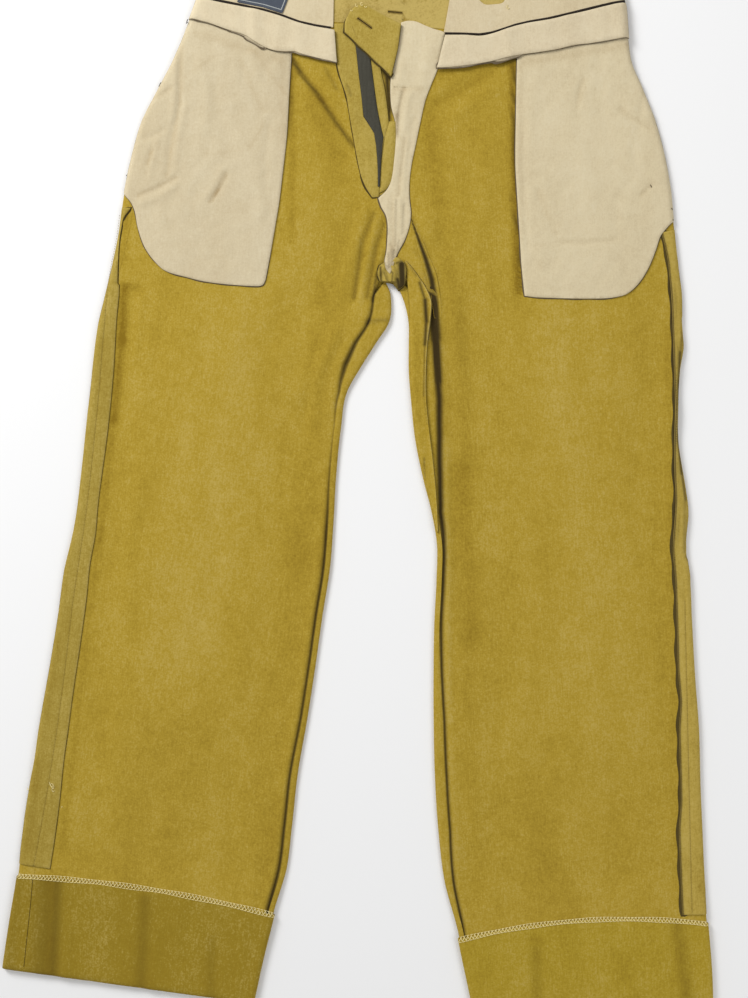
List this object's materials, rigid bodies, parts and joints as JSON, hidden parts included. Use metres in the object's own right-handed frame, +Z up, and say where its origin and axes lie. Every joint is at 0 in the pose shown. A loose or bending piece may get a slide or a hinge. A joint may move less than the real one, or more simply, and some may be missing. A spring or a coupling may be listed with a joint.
{
  "type": "casual trousers",
  "caption": "Long cotton twill trousers turned inside out and laid flat, front side up, with pocket bags, open fly and deep hems.",
  "frame": {"origin": "the centre of the garment's outline on the surface it lies on", "axes": "+Z up through the layers, front side up; +Y towards the waistband; +X to the right as seen from above"},
  "size_m": [0.712, 1.0735, 0.0112],
  "materials": {
    "twill": "olive mustard cotton twill, matt",
    "pocketing": "cream plain-weave cotton, matt, lightly creased",
    "lining": "cream cotton lining, matt",
    "piping": "dark brown piping, matt",
    "zip_tape": "dark grey woven zip tape",
    "label": "slate grey woven label, plain"
  },
  "bodies": {
    "root": {"back_left": "twill", "back_right": "twill", "front_left": "twill", "front_right": "twill", "hem_front_left": "twill", "hem_back_left": "twill", "hem_front_right": "twill", "hem_back_right": "twill", "side_seam_left": "twill", "side_seam_right": "twill", "inseam_right": "twill", "crotch_fold": "twill", "waistband_left": "twill", "waistband_right": "twill", "back_waistband": "twill", "fly_facing": "twill", "fly_extension": "twill", "fly_tab": "twill", "pocket_bag_left": "pocketing", "pocket_bag_right": "pocketing", "waistband_lining_left": "lining", "waistband_lining_right": "lining", "back_waistband_lining": "lining", "curtain_left": "lining", "curtain_right": "lining", "back_curtain": "lining", "fly_shield": "lining", "piping_left": "piping", "piping_right": "piping", "zip_tape": "zip_tape", "label": "label"}
  },
  "joints": []
}
